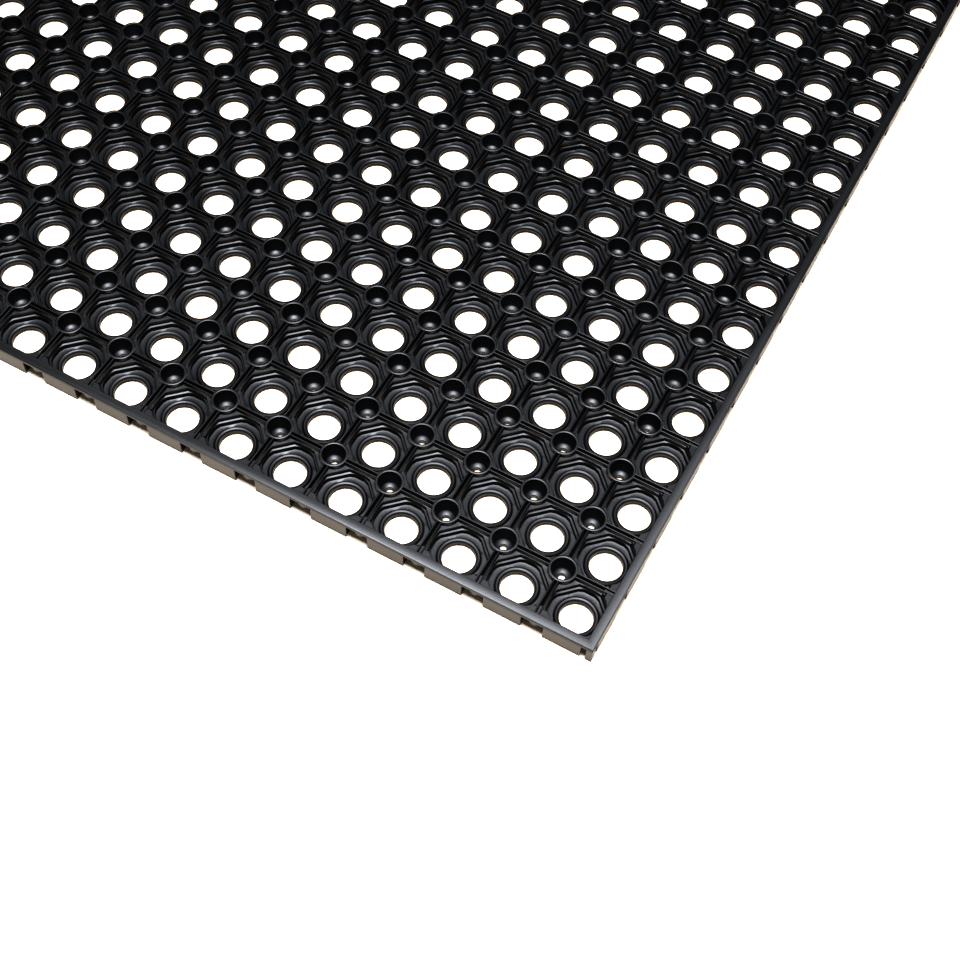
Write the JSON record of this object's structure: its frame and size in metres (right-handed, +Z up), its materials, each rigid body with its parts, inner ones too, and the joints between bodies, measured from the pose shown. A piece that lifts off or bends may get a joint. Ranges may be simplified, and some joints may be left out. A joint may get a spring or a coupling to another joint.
{
  "type": "rubber ring mat",
  "caption": "Black rubber ring mat that lies flat as an entrance or anti-fatigue mat, with octagonal drainage wells between bored ring posts and a notched edge.",
  "frame": {"origin": "middle of the underside, on the floor", "axes": "+Z up through the open top of the wells, +Y along the longer side, +X along the shorter side"},
  "size_m": [1, 1.5, 0.023],
  "materials": {
    "moulded_rubber": "matt black, compression moulded"
  },
  "bodies": {
    "root": {"ring_mat_front": "moulded_rubber", "ring_mat_middle": "moulded_rubber", "ring_mat_back": "moulded_rubber"}
  },
  "joints": []
}
